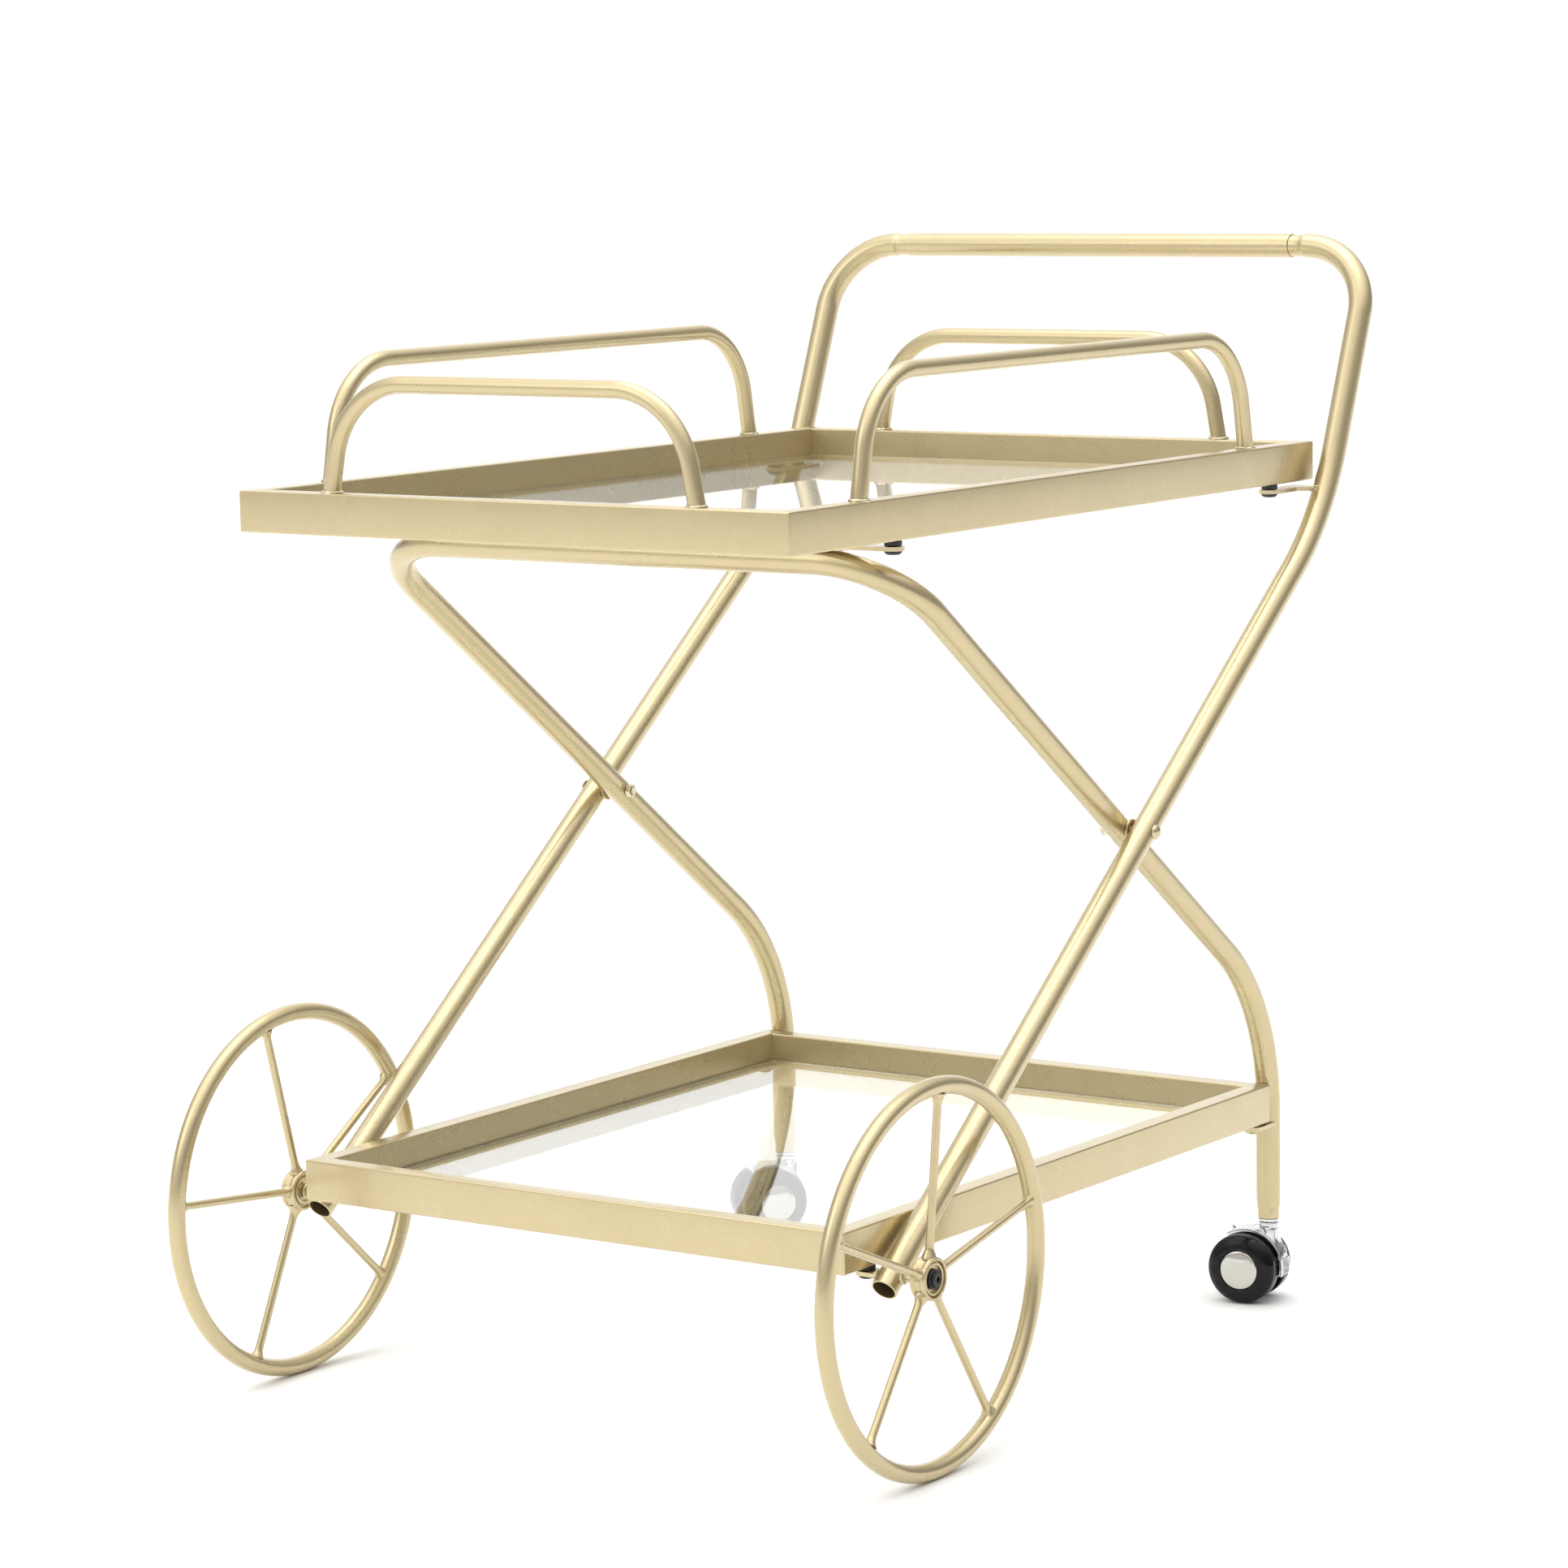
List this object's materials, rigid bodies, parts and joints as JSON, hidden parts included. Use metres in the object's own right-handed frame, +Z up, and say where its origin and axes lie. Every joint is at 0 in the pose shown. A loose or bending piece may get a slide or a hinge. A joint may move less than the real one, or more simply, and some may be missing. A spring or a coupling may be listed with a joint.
{
  "type": "bar cart",
  "caption": "Two-tier bar cart: crossed bent-tube frames, framed glass trays with guard rails, spoked front wheels and swivel casters.",
  "frame": {"origin": "on the floor, at the middle of the cart's bounding box", "axes": "+X to the rear, towards the handle bar and the casters; -X to the spoked wheels; +Z up; +Y to the far side as seen from the near side"},
  "size_m": [0.85, 0.5796, 0.8285],
  "materials": {
    "champagne_paint": "satin champagne-gold metallic powder coat",
    "chrome": "bright chrome plate",
    "black_plastic": "glossy black moulded plastic",
    "clear_glass": "clear polished float glass"
  },
  "bodies": {
    "frame": {"axle_far": "champagne_paint", "axle_near": "champagne_paint", "axle_nut_far": "black_plastic", "axle_nut_near": "black_plastic", "caster_frame": "champagne_paint", "caster_socket_far": "chrome", "caster_socket_near": "chrome", "clamp_lower_front_far": "black_plastic", "clamp_lower_front_near": "black_plastic", "clamp_lower_rear_far": "black_plastic", "clamp_lower_rear_near": "black_plastic", "clamp_top_front_far": "black_plastic", "clamp_top_front_near": "black_plastic", "clamp_top_rear_far": "black_plastic", "clamp_top_rear_near": "black_plastic", "guard_rail_far": "champagne_paint", "guard_rail_front": "champagne_paint", "guard_rail_near": "champagne_paint", "guard_rail_rear": "champagne_paint", "handle_bar": "champagne_paint", "handle_side_far": "champagne_paint", "handle_side_near": "champagne_paint", "lower_glass": "clear_glass", "lower_tray_frame": "champagne_paint", "pivot_bolt_far": "champagne_paint", "pivot_bolt_near": "champagne_paint", "pivot_nut_far": "champagne_paint", "pivot_nut_near": "champagne_paint", "pivot_washer_far": "champagne_paint", "pivot_washer_near": "champagne_paint", "tab_lower_front_far": "champagne_paint", "tab_lower_front_near": "champagne_paint", "tab_lower_rear_far": "champagne_paint", "tab_lower_rear_near": "champagne_paint", "tab_top_front_far": "champagne_paint", "tab_top_front_near": "champagne_paint", "tab_top_rear_far": "champagne_paint", "tab_top_rear_near": "champagne_paint", "top_glass": "clear_glass", "top_tray_frame": "champagne_paint"},
    "big_wheel_near": {"wheel_rim_near": "champagne_paint", "wheel_spider_near": "champagne_paint"},
    "caster_near": {"caster_body_near": "chrome", "caster_axle_near": "chrome"},
    "roller_near_a": {"caster_wheel_near_a": "black_plastic", "caster_cap_near_a": "chrome"},
    "roller_near_b": {"caster_wheel_near_b": "black_plastic", "caster_cap_near_b": "chrome"},
    "big_wheel_far": {"wheel_rim_far": "champagne_paint", "wheel_spider_far": "champagne_paint"},
    "caster_far": {"caster_body_far": "chrome", "caster_axle_far": "chrome"},
    "roller_far_a": {"caster_wheel_far_a": "black_plastic", "caster_cap_far_a": "chrome"},
    "roller_far_b": {"caster_wheel_far_b": "black_plastic", "caster_cap_far_b": "chrome"}
  },
  "joints": [
    {"name": "big_wheel_near_spin", "type": "hinge", "parent": "frame", "child": "big_wheel_near", "pos_m": [-0.285, -0.27925, 0.14], "axis": [0, 1, 0], "continuous": true},
    {"name": "caster_near_swivel", "type": "hinge", "parent": "frame", "child": "caster_near", "pos_m": [0.28148, -0.2295, 0.0665], "axis": [0, 0, 1], "continuous": true},
    {"name": "roller_near_a_spin", "type": "hinge", "parent": "caster_near", "child": "roller_near_a", "pos_m": [0.27903, -0.21369, 0.0275], "axis": [-0.9882, -0.153, 0], "continuous": true},
    {"name": "roller_near_b_spin", "type": "hinge", "parent": "caster_near", "child": "roller_near_b", "pos_m": [0.27903, -0.21369, 0.0275], "axis": [-0.9882, -0.153, 0], "continuous": true},
    {"name": "big_wheel_far_spin", "type": "hinge", "parent": "frame", "child": "big_wheel_far", "pos_m": [-0.285, 0.27925, 0.14], "axis": [0, 1, 0], "continuous": true},
    {"name": "caster_far_swivel", "type": "hinge", "parent": "frame", "child": "caster_far", "pos_m": [0.28148, 0.2295, 0.0665], "axis": [0, 0, 1], "continuous": true},
    {"name": "roller_far_a_spin", "type": "hinge", "parent": "caster_far", "child": "roller_far_a", "pos_m": [0.26832, 0.23861, 0.0275], "axis": [-0.5693, -0.8221, 0], "continuous": true},
    {"name": "roller_far_b_spin", "type": "hinge", "parent": "caster_far", "child": "roller_far_b", "pos_m": [0.26832, 0.23861, 0.0275], "axis": [-0.5693, -0.8221, 0], "continuous": true}
  ]
}
